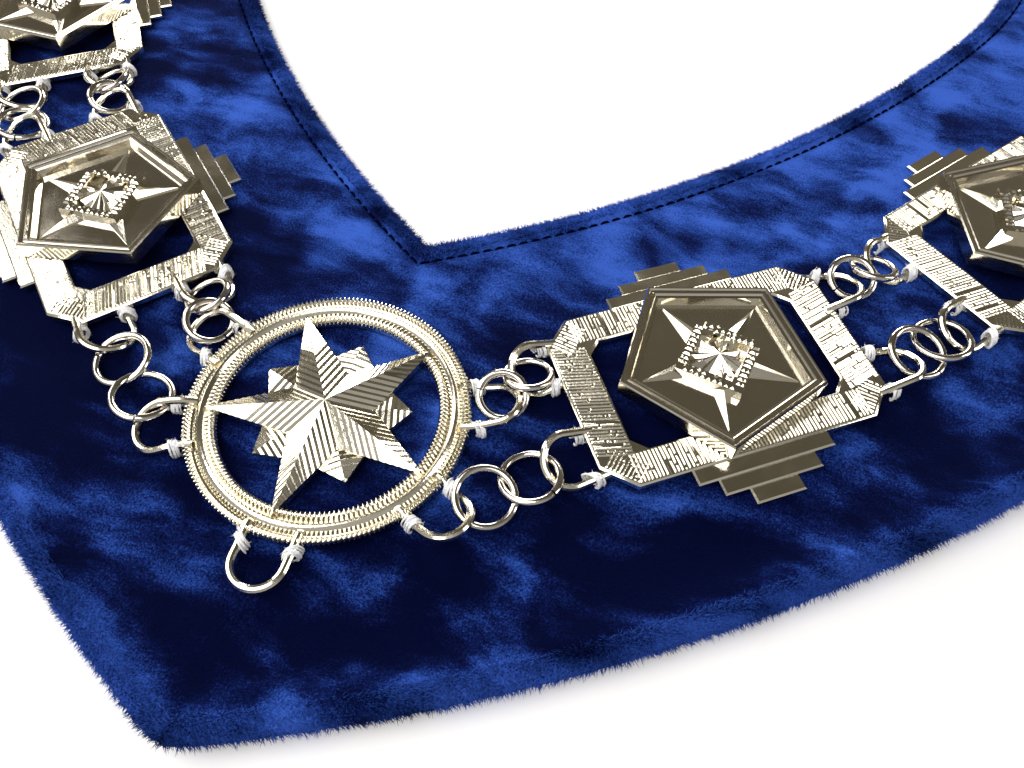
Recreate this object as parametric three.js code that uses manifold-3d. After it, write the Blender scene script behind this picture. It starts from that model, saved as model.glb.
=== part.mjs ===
// Chain collar: a stiff velvet collar lying flat, with a chain of cast plaques, link rings
// and one star medallion sewn on it. Millimetres, +Z up, +Y from the collar's point to its nape.
import * as THREE from 'three';
import { mergeVertices } from 'three/addons/utils/BufferGeometryUtils.js';
import Module from 'manifold-3d';

const { degToRad, lerp } = THREE.MathUtils;
const wasm = await Module();
wasm.setup();

// Velvet band: its midline leaves the point on a front arc and goes round the nape on a circle
const bandWidth = 90;
const bandThickness = 3;
const bandEdgeRound = 1;
const stitchInset = 4.5;
const stitchHalfWidth = 0.8;
const stitchDepth = 0.6;
const pointAngle = degToRad(27.5);
const frontRadius = 340;
const napeAngle = degToRad(62);
const stationsPerSide = 17;

// Heights of the metal above the table
const loopHeight = 5.4;
const plateThickness = 1.4;
const pieceGap = 0.3;

// Chain layout along the midline, on one side of the collar
const plaquesPerSide = 6;
const firstPlaque = 72.5;
const chainAcross = -2.8;
// How far the plaques near the point are sewn off their even places
const sewing = {
  right_1: { along: 0.4, towardNeck: 1.2, turn: -3.1 },
  right_2: { along: 0.8, towardNeck: 0.5, turn: 0.2 },
  left_1: { along: 2.9, towardNeck: -1.7, turn: 0.3 },
  left_2: { along: 0, towardNeck: -0.1, turn: 0 },
};

// Plaque: an octagonal frame whose long sides step out in three slats, each shorter than the last
const plaqueLength = 55.8;
const plaqueWidth = 36.6;
const plaqueChamfer = 5.2;
const endBar = 7.2;
const longBar = 6.4;
const slats = [
  { length: 26, reach: 2.8 },
  { length: 18.5, reach: 5.6 },
  { length: 9.3, reach: 8.4 },
];

// Emblem: a five-sided tray that rests on the plaque's long bars, with a star in relief
const emblemRadius = 19.4;
const emblemTaper = 0.7;
const emblemBorder = 1.9;
const emblemBevel = 0.8;
const emblemHeight = 3.3;
const emblemFloor = 1.2;
const emblemStarTip = 14.2;
const emblemStarInner = 6;
const emblemStarEdge = 0.4;
const emblemStarRise = 2.6;

// Medallion: a moulded ring round a five-pointed star, with small diamonds between the arms
const medallionSpot = { x: -1.2, y: 8 };
const medallionBase = 4.2;
const medallionRadius = 25;
const ringMoulding = [
  { radius: 19.4, height: 4.2 },
  { radius: 24.6, height: 4.2 },
  { radius: medallionRadius, height: 4.8 },
  { radius: medallionRadius, height: 5.7 },
  { radius: 24.4, height: 6.2 },
  { radius: 23.4, height: 6.2 },
  { radius: 23, height: 5.4 },
  { radius: 22.5, height: 6.1 },
  { radius: 21.8, height: 6.1 },
  { radius: 21.3, height: 5.4 },
  { radius: 20.9, height: 6 },
  { radius: 19.4, height: 5.8 },
];
const medallionSides = 30;
const starTip = 21.3;
const starInner = 8.1;
const starTipHeight = 6;
const starInnerHeight = 5.4;
const starApexHeight = 8.9;
const diamondSpot = 11;
const diamondHalf = 3.7;
const diamondEdgeHeight = 5.2;
const diamondApexHeight = 6.2;
const medallionLoops = {
  pendant: { angle: -87, twist: 0 },
  right_inner: { angle: 21, twist: -1 },
  right_outer: { angle: -25, twist: -1 },
  left_inner: { angle: 163, twist: -1 },
  left_outer: { angle: 205, twist: -1 },
};

// Soldered wire loops and the link rings between them
const loopWire = 1.2;
const loopRadius = 4.4;
const innerReach = 3.4;
const outerReach = 4.2;
const loopSink = 2;
const loopTwist = 0.37;
const loopRow = 9.8;
const loopSteps = 6;
const loopWireSides = 4;
const ringWireSides = 5;
const ringSides = 10;
const ringWire = 1.1;
const ringContact = 0.9;
const ringClearance = 0.15;
const ringLock = 0.79;
const ringStep = 0.19;
const furthestRing = 7.4;
const ringKinds = {
  inner: { radius: 4.2, tilt: 0.27, pitch: 0.25, rise: 0.55 },
  outer: { radius: 5.05, tilt: 0.2, pitch: 0, rise: 0 },
};

const velvet = new THREE.MeshStandardMaterial({ color: 0x16298f, roughness: 0.9, metalness: 0 });
const silver = new THREE.MeshStandardMaterial({ color: 0xd2cec4, roughness: 0.22, metalness: 1 });
const mirror = new THREE.MeshStandardMaterial({ color: 0xc4beb2, roughness: 0.12, metalness: 1 });

// The two arcs of the midline, with the collar's point at the layout's origin
const halfBand = bandWidth / 2;
const napeRadius = frontRadius * (1 - Math.sin(pointAngle) / Math.sin(napeAngle));
const frontCentre = new THREE.Vector2(-Math.sin(pointAngle), Math.cos(pointAngle)).multiplyScalar(frontRadius);
const napeCentre = new THREE.Vector2(0, frontCentre.y - (frontRadius - napeRadius) * Math.cos(napeAngle));
const frontLength = frontRadius * (napeAngle - pointAngle);
const halfLength = frontLength + napeRadius * (Math.PI - napeAngle);

// Angle at which a line that many millimetres from the midline meets the collar's axis
function axisAngle(across) {
  return Math.asin((frontRadius * Math.sin(pointAngle)) / (frontRadius - across));
}

// Plan point at a heading and a distance from the midline, positive towards the neck
function bandPoint(heading, across) {
  const onFront = heading < napeAngle;
  const centre = onFront ? frontCentre : napeCentre;
  const radius = (onFront ? frontRadius : napeRadius) - across;
  return new THREE.Vector2(centre.x + radius * Math.sin(heading), centre.y - radius * Math.cos(heading));
}

function headingAt(distance) {
  if (distance < frontLength) return pointAngle + distance / frontRadius;
  return napeAngle + (distance - frontLength) / napeRadius;
}

// Closed solids and their joins
function toSolid(geometry) {
  const bare = geometry.clone();
  bare.deleteAttribute('normal');
  bare.deleteAttribute('uv');
  const merged = mergeVertices(bare, 1e-4);
  const vertProperties = new Float32Array(merged.attributes.position.array);
  const triVerts = new Uint32Array(merged.index.array);
  return new wasm.Manifold(new wasm.Mesh({ numProp: 3, vertProperties, triVerts }));
}

function toGeometry(solid) {
  const { vertProperties, triVerts } = solid.getMesh();
  const geometry = new THREE.BufferGeometry();
  geometry.setAttribute('position', new THREE.BufferAttribute(vertProperties, 3));
  geometry.setIndex(new THREE.BufferAttribute(triVerts, 1));
  geometry.computeVertexNormals();
  return geometry;
}

function joined(geometries) {
  const solids = geometries.map(toSolid);
  return toGeometry(solids.reduce((whole, solid) => whole.add(solid)));
}

// Point-sided solid: a flat base, upright sides and facets that rise from the rim to a peak
function peak(rim, baseHeight, peakHeight) {
  const count = rim.length;
  const positions = [];
  const index = [];
  for (const { x, y, z } of rim) positions.push(x, y, z);
  for (const { x, y } of rim) positions.push(x, y, baseHeight);
  const centre = rim.reduce((sum, point) => sum.add(point), new THREE.Vector3()).divideScalar(count);
  positions.push(centre.x, centre.y, peakHeight, centre.x, centre.y, baseHeight);
  for (let here = 0; here < count; here += 1) {
    const next = (here + 1) % count;
    index.push(here, next, 2 * count);
    index.push(count + here, next, here, count + here, count + next, next);
    index.push(count + next, count + here, 2 * count + 1);
  }
  const geometry = new THREE.BufferGeometry();
  geometry.setAttribute('position', new THREE.Float32BufferAttribute(positions, 3));
  geometry.setIndex(index);
  return geometry;
}

// Rim of a star with five arms, the first one along the given direction
function starRim(tip, inner, tipHeight, innerHeight, firstArm) {
  return Array.from({ length: 10 }, (unused, corner) => {
    const onTip = corner % 2 === 0;
    const angle = firstArm + (corner * Math.PI) / 5;
    const spot = polar(onTip ? tip : inner, angle);
    return new THREE.Vector3(spot.x, spot.y, onTip ? tipHeight : innerHeight);
  });
}

function squareRim(spot, half, height, angle) {
  return Array.from({ length: 4 }, (unused, corner) => {
    const turn = angle + (corner * Math.PI) / 2;
    return new THREE.Vector3(spot.x + half * Math.cos(turn), spot.y + half * Math.sin(turn), height);
  });
}

function polar(radius, angle) {
  return new THREE.Vector2(radius * Math.cos(angle), radius * Math.sin(angle));
}

// Wire loop: two legs and a half circle about the origin. It tips sideways to the way its rings
// lead off, and only beyond its feet, so that a ring can pass over one side and under the other.
class LoopCurve extends THREE.Curve {
  constructor(leg, twist, lean) {
    super();
    this.leg = leg;
    this.twist = twist;
    this.lean = lean;
  }

  getUtoTmapping(share) {
    return share;
  }

  getPoint(share, target = new THREE.Vector3()) {
    const step = 1 / loopSteps;
    const side = share < 0.5 ? -1 : 1;
    const fromEnd = Math.min(share, 1 - share) / step;
    const onLeg = fromEnd < 1;
    const turn = lerp(-Math.PI / 2, Math.PI / 2, (share - step) / (1 - 2 * step));
    const x = onLeg ? (fromEnd - 1) * this.leg : loopRadius * Math.cos(turn);
    const y = onLeg ? side * loopRadius : loopRadius * Math.sin(turn);
    const sideways = y * Math.cos(this.lean) - x * Math.sin(this.lean);
    return target.set(x, y, this.twist * sideways * Math.min(1, fromEnd));
  }
}

function wireSection() {
  const corners = Array.from({ length: loopWireSides }, (unused, corner) => {
    return polar(loopWire / 2, (2 * Math.PI * corner) / loopWireSides);
  });
  return new THREE.Shape(corners);
}

function wireLoop(spot, angle, leg, twist, lean = 0) {
  const extrudePath = new LoopCurve(leg, twist, lean);
  const geometry = new THREE.ExtrudeGeometry(wireSection(), { steps: loopSteps, extrudePath });
  return geometry.rotateZ(angle).translate(spot.x, spot.y, loopHeight);
}

// Velvet: one section swept round both sides, with a stitched groove along the neck edge
function velvetSection() {
  const stitch = halfBand - stitchInset;
  return [
    { across: -halfBand + bandEdgeRound, height: 0 },
    { across: -halfBand, height: bandEdgeRound },
    { across: -halfBand, height: bandThickness - bandEdgeRound },
    { across: -halfBand + bandEdgeRound, height: bandThickness },
    { across: stitch - stitchHalfWidth, height: bandThickness },
    { across: stitch, height: bandThickness - stitchDepth },
    { across: stitch + stitchHalfWidth, height: bandThickness },
    { across: halfBand - bandEdgeRound, height: bandThickness },
    { across: halfBand, height: bandThickness - bandEdgeRound },
    { across: halfBand, height: bandEdgeRound },
    { across: halfBand - bandEdgeRound, height: 0 },
  ];
}

function velvetCollar() {
  const section = velvetSection();
  const stations = 2 * stationsPerSide;
  const positions = [];
  const index = [];
  for (let station = 0; station < stations; station += 1) {
    const onRight = station <= stationsPerSide;
    const share = (onRight ? station : stations - station) / stationsPerSide;
    for (const { across, height } of section) {
      const point = bandPoint(lerp(axisAngle(across), Math.PI, share), across);
      positions.push(onRight ? point.x : -point.x, point.y, height);
    }
  }
  for (let station = 0; station < stations; station += 1) {
    const nextStation = (station + 1) % stations;
    for (let corner = 0; corner < section.length; corner += 1) {
      const nextCorner = (corner + 1) % section.length;
      const [a, b] = [corner, nextCorner].map((spot) => station * section.length + spot);
      const [c, d] = [corner, nextCorner].map((spot) => nextStation * section.length + spot);
      index.push(a, c, b, b, c, d);
    }
  }
  const geometry = new THREE.BufferGeometry();
  geometry.setAttribute('position', new THREE.Float32BufferAttribute(positions, 3));
  geometry.setIndex(index);
  geometry.computeVertexNormals();
  return geometry;
}

function octagon(length, width, chamfer) {
  const [x, y] = [length / 2, width / 2];
  return [
    new THREE.Vector2(x, -y + chamfer),
    new THREE.Vector2(x, y - chamfer),
    new THREE.Vector2(x - chamfer, y),
    new THREE.Vector2(-x + chamfer, y),
    new THREE.Vector2(-x, y - chamfer),
    new THREE.Vector2(-x, -y + chamfer),
    new THREE.Vector2(-x + chamfer, -y),
    new THREE.Vector2(x - chamfer, -y),
  ];
}

const plateBase = loopHeight - plateThickness / 2;

function loopReach(towardNeck) {
  return towardNeck ? innerReach : outerReach;
}

// Spot of a plaque's loop in its own frame: end 1 leads on along the chain, end -1 leads back
function plaqueLoopSpot(end, row, towardNeck) {
  return new THREE.Vector2(end * (plaqueLength / 2 + loopReach(towardNeck)), row * loopRow);
}

// Outline with the slats stepping out from the middle of both long sides
function plaqueOutline() {
  const corners = octagon(plaqueLength, plaqueWidth, plaqueChamfer);
  const steps = [];
  let edge = plaqueWidth / 2;
  for (const { length, reach } of slats) {
    const nextEdge = plaqueWidth / 2 + reach;
    steps.push(new THREE.Vector2(length / 2, edge), new THREE.Vector2(length / 2, nextEdge));
    edge = nextEdge;
  }
  const back = steps.toReversed().map(({ x, y }) => new THREE.Vector2(-x, y));
  const neckSide = [...steps, ...back];
  const outerSide = neckSide.map(({ x, y }) => new THREE.Vector2(-x, -y));
  return [...corners.slice(0, 3), ...neckSide, ...corners.slice(3, 7), ...outerSide, corners[7]];
}

function plaqueFrame(neckRow) {
  const outline = new THREE.Shape(plaqueOutline());
  const windowLength = plaqueLength - 2 * endBar;
  const windowWidth = plaqueWidth - 2 * longBar;
  outline.holes.push(new THREE.Path(octagon(windowLength, windowWidth, plaqueChamfer / 2).reverse()));
  const frame = new THREE.ExtrudeGeometry(outline, { depth: plateThickness, bevelEnabled: false });
  const pieces = [frame.translate(0, 0, plateBase)];
  for (const row of [1, -1]) {
    const towardNeck = row === neckRow;
    const leg = loopReach(towardNeck) + loopSink;
    for (const end of [1, -1]) {
      const spot = plaqueLoopSpot(end, row, towardNeck);
      pieces.push(wireLoop(spot, end > 0 ? 0 : Math.PI, leg, -loopTwist));
    }
  }
  return joined(pieces);
}

// Five-sided tray with its first corner pointing back along the chain
function plaqueEmblem() {
  const top = emblemRadius - emblemTaper;
  const profile = [
    new THREE.Vector2(0, 0),
    new THREE.Vector2(emblemRadius, 0),
    new THREE.Vector2(top, emblemHeight),
    new THREE.Vector2(top - emblemBorder, emblemHeight),
    new THREE.Vector2(top - emblemBorder - emblemBevel, emblemFloor),
    new THREE.Vector2(0, emblemFloor),
  ];
  const tray = new THREE.LatheGeometry(profile, 5).rotateX(Math.PI / 2).rotateZ(-Math.PI / 2);
  const edge = emblemFloor + emblemStarEdge;
  const starSides = starRim(emblemStarTip, emblemStarInner, edge, edge, Math.PI);
  return joined([tray, peak(starSides, emblemFloor / 2, emblemFloor + emblemStarRise)]);
}

function medallionLoopSpot(row) {
  return polar(medallionRadius + outerReach, degToRad(medallionLoops[row].angle));
}

// How far the run of rings from a loop of the medallion leads off sideways
function medallionLoopLean(row) {
  const [side, kind] = row.split('_');
  const start = inLayout(medallionPose, medallionLoopSpot(row));
  const end = plaqueLoop(plaquePose(side, 1), -1, kind);
  return end.sub(start).angle() - degToRad(medallionLoops[row].angle);
}

function starMedallion() {
  const profile = ringMoulding.map(({ radius, height }) => new THREE.Vector2(radius, height));
  profile.push(profile[0].clone());
  const ring = new THREE.LatheGeometry(profile, medallionSides).rotateX(Math.PI / 2);
  const pointDown = -Math.PI / 2;
  const starSides = starRim(starTip, starInner, starTipHeight, starInnerHeight, pointDown);
  const pieces = [ring, peak(starSides, medallionBase, starApexHeight)];
  for (let arm = 0; arm < 5; arm += 1) {
    const angle = pointDown + ((2 * arm + 1) * Math.PI) / 5;
    const rim = squareRim(polar(diamondSpot, angle), diamondHalf, diamondEdgeHeight, angle);
    pieces.push(peak(rim, medallionBase, diamondApexHeight));
  }
  for (const [row, { angle, twist }] of Object.entries(medallionLoops)) {
    const lean = twist === 0 ? 0 : medallionLoopLean(row);
    const leg = outerReach + loopSink;
    pieces.push(wireLoop(medallionLoopSpot(row), degToRad(angle), leg, twist * loopTwist, lean));
  }
  return joined(pieces);
}

// Ring lying on the plane z = height + pitch * x + tilt * y about its own centre
function linkRing(radius, pitch, tilt) {
  const ring = new THREE.TorusGeometry(radius, ringWire / 2, ringWireSides, ringSides);
  const facing = new THREE.Vector3(-pitch, -tilt, 1).normalize();
  const turn = new THREE.Quaternion().setFromUnitVectors(new THREE.Vector3(0, 0, 1), facing);
  return ring.applyQuaternion(turn);
}

// Two rings that lock in each other and in the loops at both ends of a span
function ringRun(span, kind) {
  const { radius, tilt, pitch, rise } = ringKinds[kind];
  const clearOfFarLoop = radius + loopRadius + (ringWire + loopWire) / 2 + ringClearance - span / 2;
  const even = Math.min(Math.max(span * ringStep, clearOfFarLoop), ringLock * radius);
  const halfStep = Math.max(even, span / 2 - furthestRing);
  const crossing = Math.sqrt(radius ** 2 - halfStep ** 2);
  const lift = Math.max(0, tilt * crossing - ringContact / 2);
  const near = linkRing(radius, pitch, tilt).translate(-halfStep, 0, rise + lift);
  const far = linkRing(radius, -pitch, -tilt).translate(halfStep, 0, rise - lift);
  return joined([near, far]);
}

// Places of the pieces in the layout
function plaquePose(side, number) {
  const { along = 0, towardNeck = 0, turn = 0 } = sewing[`${side}_${number}`] ?? {};
  const pitch = (halfLength - firstPlaque) / plaquesPerSide;
  const heading = headingAt(firstPlaque + pitch * (number - 1) + along);
  const point = bandPoint(heading, chainAcross + towardNeck);
  const angle = heading + degToRad(turn);
  if (side === 'right') return { x: point.x, y: point.y, angle, neckRow: 1 };
  return { x: -point.x, y: point.y, angle: Math.PI - angle, neckRow: -1 };
}

function inLayout(pose, spot) {
  return spot.clone().rotateAround(new THREE.Vector2(), pose.angle).add(new THREE.Vector2(pose.x, pose.y));
}

// Layout spot of a plaque's loop, on the row towards the neck or the outer one
function plaqueLoop(pose, end, kind) {
  const towardNeck = kind === 'inner';
  const row = towardNeck ? pose.neckRow : -pose.neckRow;
  return inLayout(pose, plaqueLoopSpot(end, row, towardNeck));
}

const group = new THREE.Group();
const pointY = frontCentre.y - (frontRadius + halfBand) * Math.cos(axisAngle(-halfBand));
const napeY = napeCentre.y + napeRadius + halfBand;
group.position.y = -(pointY + napeY) / 2;

function place(name, geometry, material, pose, height = 0) {
  const mesh = new THREE.Mesh(geometry, material);
  mesh.name = name;
  mesh.position.set(pose.x, pose.y, height);
  mesh.rotation.z = pose.angle;
  group.add(mesh);
}

const still = { x: 0, y: 0, angle: 0 };
const medallionPose = { ...medallionSpot, angle: 0 };
const emblemBase = plateBase + plateThickness + pieceGap;
place('velvet_collar', velvetCollar(), velvet, still);
place('star_medallion', starMedallion(), silver, medallionPose);

function placePlaque(name, pose) {
  place(`plaque_${name}`, plaqueFrame(pose.neckRow), silver, pose);
  place(`emblem_${name}`, plaqueEmblem(), mirror, pose, emblemBase);
}

// A run of rings between two spots, named for the plaque that it leads to
function placeRun(name, kind, start, end) {
  const span = end.clone().sub(start);
  const middle = start.clone().lerp(end, 0.5);
  const pose = { x: middle.x, y: middle.y, angle: span.angle() };
  place(`links_${name}_${kind}`, ringRun(span.length(), kind), silver, pose, loopHeight);
}

const napePose = plaquePose('right', plaquesPerSide + 1);
placePlaque('nape', napePose);

for (const side of ['right', 'left']) {
  for (let number = 1; number <= plaquesPerSide; number += 1) {
    placePlaque(`${side}_${number}`, plaquePose(side, number));
  }
  for (const kind of ['inner', 'outer']) {
    let start = inLayout(medallionPose, medallionLoopSpot(`${side}_${kind}`));
    for (let number = 1; number <= plaquesPerSide; number += 1) {
      const pose = plaquePose(side, number);
      placeRun(`${side}_${number}`, kind, start, plaqueLoop(pose, -1, kind));
      start = plaqueLoop(pose, 1, kind);
    }
    placeRun(`${side}_nape`, kind, start, plaqueLoop(napePose, side === 'right' ? -1 : 1, kind));
  }
}

export default group;
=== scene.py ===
import math
import random
import bpy
import numpy as np
from mathutils import Matrix, Vector, noise


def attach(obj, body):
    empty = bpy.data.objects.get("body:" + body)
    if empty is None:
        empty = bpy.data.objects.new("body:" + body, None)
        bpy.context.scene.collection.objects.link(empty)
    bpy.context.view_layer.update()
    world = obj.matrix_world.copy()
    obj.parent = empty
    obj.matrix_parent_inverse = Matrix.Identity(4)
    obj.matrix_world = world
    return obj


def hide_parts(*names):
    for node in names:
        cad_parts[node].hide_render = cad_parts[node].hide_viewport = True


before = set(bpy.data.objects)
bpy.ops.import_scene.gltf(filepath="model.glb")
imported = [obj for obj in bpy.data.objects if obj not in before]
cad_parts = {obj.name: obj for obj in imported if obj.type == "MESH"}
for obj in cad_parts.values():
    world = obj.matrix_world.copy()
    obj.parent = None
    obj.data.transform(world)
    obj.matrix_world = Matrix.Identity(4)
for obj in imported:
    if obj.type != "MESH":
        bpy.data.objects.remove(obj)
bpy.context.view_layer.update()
mm = 0.001
dice = random.Random(7)

# plan of the collar, in millimetres, the point of the midline at the layout's origin
collar = {
    "bandWidth": 90.0, "pointAngle": math.radians(27.5), "frontRadius": 340.0,
    "napeAngle": math.radians(62.0), "bandTop": 3.0,
}
halfBand = collar["bandWidth"] / 2
frontRadius, pointAngle, napeAngle = collar["frontRadius"], collar["pointAngle"], collar["napeAngle"]
napeRadius = frontRadius * (1 - math.sin(pointAngle) / math.sin(napeAngle))
frontCentre = (-frontRadius * math.sin(pointAngle), frontRadius * math.cos(pointAngle))
napeCentre = (0.0, frontCentre[1] - (frontRadius - napeRadius) * math.cos(napeAngle))
frontLength = frontRadius * (napeAngle - pointAngle)
halfLength = frontLength + napeRadius * (math.pi - napeAngle)


def axisAngle(across):  # heading where a line beside the midline meets the collar's axis
    return math.asin(frontRadius * math.sin(pointAngle) / (frontRadius - across))


def bandPoint(heading, across):  # plan point, across is positive towards the neck
    onFront = heading < napeAngle
    centre = frontCentre if onFront else napeCentre
    radius = (frontRadius if onFront else napeRadius) - across
    return centre[0] + radius * math.sin(heading), centre[1] - radius * math.cos(heading)


def headingAt(distance):
    if distance < frontLength:
        return pointAngle + distance / frontRadius
    return napeAngle + (distance - frontLength) / napeRadius


pointY = frontCentre[1] - (frontRadius + halfBand) * math.cos(axisAngle(-halfBand))
napeY = napeCentre[1] + napeRadius + halfBand
layoutShift = -(pointY + napeY) / 2  # the frame's origin is under the middle of the collar


# meshes are gathered as points and faces in millimetres, then made in metres
def newBag():
    return {"points": [], "faces": []}


def addMesh(bag, points, faces):
    start = len(bag["points"])
    bag["points"] += [tuple(p) for p in points]
    bag["faces"] += [tuple(start + i for i in face) for face in faces]


def makeMesh(name, bag, material, smoothAngle=None):
    mesh = bpy.data.meshes.new(name)
    mesh.from_pydata([(x * mm, y * mm, z * mm) for x, y, z in bag["points"]], [], bag["faces"])
    mesh.materials.append(material)
    if smoothAngle is not None:
        mesh.shade_smooth()
        mesh.set_sharp_from_angle(angle=math.radians(smoothAngle))
    mesh.validate()
    return mesh


def addPiece(name, mesh, pose=None, nodes=()):
    piece = bpy.data.objects.new(name, mesh)
    bpy.context.scene.collection.objects.link(piece)
    if pose is not None:
        x, y, angle = pose
        move = Matrix.Translation((x * mm, (y + layoutShift) * mm, 0))
        piece.matrix_world = move @ Matrix.Rotation(angle, 4, "Z")
    bpy.context.view_layer.update()
    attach(piece, "root")
    if nodes:
        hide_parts(*nodes)
    return piece


def polar(radius, angle, z=0.0):
    return radius * math.cos(angle), radius * math.sin(angle), z


def addLoft(bag, rings, closeStart=True, closeEnd=True):  # closed rings of equal count, skinned in order
    count = len(rings[0])
    points = [p for ring in rings for p in ring]
    faces = []
    for level in range(len(rings) - 1):
        for here in range(count):
            there = (here + 1) % count
            low, high = level * count, (level + 1) * count
            faces.append((low + here, low + there, high + there, high + here))
    if closeStart:
        faces.append(tuple(reversed(range(count))))
    if closeEnd:
        faces.append(tuple(range(len(points) - count, len(points))))
    addMesh(bag, points, faces)


def addTube(bag, path, radius, sides, closed=False):  # round wire along a list of points
    path = [Vector(p) for p in path]
    rings = []
    side = None
    for i, point in enumerate(path):
        before = path[i - 1] if i > 0 or closed else point
        after = path[(i + 1) % len(path)] if i + 1 < len(path) or closed else point
        ahead = (after - before).normalized()
        if side is None:
            side = ahead.orthogonal().normalized()
        side = (side - ahead * side.dot(ahead)).normalized()
        other = ahead.cross(side)
        turns = [2 * math.pi * k / sides for k in range(sides)]
        rings.append([point + radius * (math.cos(t) * side + math.sin(t) * other) for t in turns])
    if not closed:
        addLoft(bag, rings)
        return
    addLoft(bag, rings, False, False)
    start = len(bag["points"]) - len(path) * sides
    last = start + (len(path) - 1) * sides
    for here in range(sides):
        there = (here + 1) % sides
        bag["faces"].append((last + here, last + there, start + there, start + here))


def addStroke(bag, a, b, width, height):  # a raised cut mark with a sharp crest, lying from a to b
    a, b = Vector(a), Vector(b)
    side = Vector((-(b - a).y, (b - a).x, 0)).normalized() * (width / 2)
    crest, inset = Vector((0, 0, height)), (b - a).normalized() * (width * 0.5)
    points = [a - side, a + side, b + side, b - side, a + inset + crest, b - inset + crest]
    faces = [(0, 1, 2, 3), (0, 3, 5, 4), (2, 1, 4, 5), (1, 0, 4), (3, 2, 5)]
    addMesh(bag, points, faces)


def addHatch(bag, start, along, across, pitch, marks):  # broken strokes side by side over one bar
    start, along, across = Vector(start), Vector(along), Vector(across)
    count = int(along.length / pitch)
    for i in range(count):
        foot = start + along * ((i + 0.5) / count)
        cuts = [0.0] + sorted(dice.uniform(0.12, 0.88) for _ in range(dice.choice((0, 0, 1, 1, 2)))) + [1.0]
        for a, b in zip(cuts, cuts[1:]):
            if b - a < 0.08:
                continue
            low = foot + across * (a + 0.02) + along.normalized() * dice.uniform(-0.05, 0.05)
            high = foot + across * (b - 0.02) + along.normalized() * dice.uniform(-0.08, 0.08)
            width = pitch * dice.uniform(0.75, 0.92)
            addStroke(bag, low, high, width, marks["height"] * dice.uniform(0.8, 1.1))


def addSlab(bag, low, high, bevel):  # flat bar with bevelled top edges
    (x0, y0, z0), (x1, y1, z1) = low, high
    foot = [(x0, y0, z0), (x1, y0, z0), (x1, y1, z0), (x0, y1, z0)]
    shoulder = [(x, y, z1 - bevel) for x, y, _ in foot]
    top = [(x0 + bevel, y0 + bevel, z1), (x1 - bevel, y0 + bevel, z1),
           (x1 - bevel, y1 - bevel, z1), (x0 + bevel, y1 - bevel, z1)]
    addLoft(bag, [foot, shoulder, top])


# shader helpers
def newMaterial(name):
    material = bpy.data.materials.new(name)
    material.use_nodes = True
    nodes, links = material.node_tree.nodes, material.node_tree.links
    return material, nodes, links, nodes["Principled BSDF"]


def addNode(nodes, kind, **values):
    node = nodes.new(kind)
    for key, value in values.items():
        if key in node.inputs:
            node.inputs[key].default_value = value
        else:
            setattr(node, key, value)
    return node


def addRange(nodes, low, high, **values):
    return addNode(nodes, "ShaderNodeMapRange", **{"From Min": low, "From Max": high}, **values)


def setRamp(ramp, stops):
    elements = ramp.color_ramp.elements
    while len(elements) < len(stops):
        elements.new(0.5)
    for element, (position, colour) in zip(elements, stops):
        element.position = position
        element.color = colour if len(colour) == 4 else (*colour, 1)


def newGroup(name, inputs, outputs):
    group = bpy.data.node_groups.new(name, "ShaderNodeTree")
    for label, kind, value in inputs:
        socket = group.interface.new_socket(label, in_out="INPUT", socket_type=kind)
        socket.default_value = value
    for label, kind in outputs:
        group.interface.new_socket(label, in_out="OUTPUT", socket_type=kind)
    return group, group.nodes.new("NodeGroupInput"), group.nodes.new("NodeGroupOutput")


# handling marks shared by every plated piece: soft smudges and a little warm tarnish
def makePlateWear():
    group, given, made = newGroup(
        "plateWear",
        [("Clean", "NodeSocketColor", (0.8, 0.8, 0.8, 1)), ("Tarnish", "NodeSocketColor", (0.4, 0.3, 0.2, 1)),
         ("Low Roughness", "NodeSocketFloat", 0.1), ("High Roughness", "NodeSocketFloat", 0.3),
         ("Scale", "NodeSocketFloat", 120.0), ("Grain Scale", "NodeSocketFloat", 1500.0)],
        [("Colour", "NodeSocketColor"), ("Roughness", "NodeSocketFloat"), ("Grain", "NodeSocketFloat")])
    nodes, links = group.nodes, group.links
    place = nodes.new("ShaderNodeTexCoord")
    cloud = addNode(nodes, "ShaderNodeTexNoise", Detail=5.0, Roughness=0.6)
    links.new(place.outputs["Object"], cloud.inputs["Vector"])
    links.new(given.outputs["Scale"], cloud.inputs["Scale"])
    share = addRange(nodes, 0.35, 0.7)
    links.new(cloud.outputs["Fac"], share.inputs["Value"])
    blend = addNode(nodes, "ShaderNodeMix", data_type="RGBA")
    faint = addNode(nodes, "ShaderNodeMath", operation="MULTIPLY")
    faint.inputs[1].default_value = 0.35
    links.new(share.outputs["Result"], faint.inputs[0])
    links.new(faint.outputs[0], blend.inputs["Factor"])
    links.new(given.outputs["Clean"], blend.inputs[6])
    links.new(given.outputs["Tarnish"], blend.inputs[7])
    links.new(blend.outputs[2], made.inputs["Colour"])
    rough = addNode(nodes, "ShaderNodeMapRange")
    links.new(share.outputs["Result"], rough.inputs["Value"])
    links.new(given.outputs["Low Roughness"], rough.inputs["To Min"])
    links.new(given.outputs["High Roughness"], rough.inputs["To Max"])
    links.new(rough.outputs["Result"], made.inputs["Roughness"])
    grain = addNode(nodes, "ShaderNodeTexNoise", Detail=3.0)
    links.new(place.outputs["Object"], grain.inputs["Vector"])
    links.new(given.outputs["Grain Scale"], grain.inputs["Scale"])
    links.new(grain.outputs["Fac"], made.inputs["Grain"])
    return group


plateWear = makePlateWear()


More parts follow.
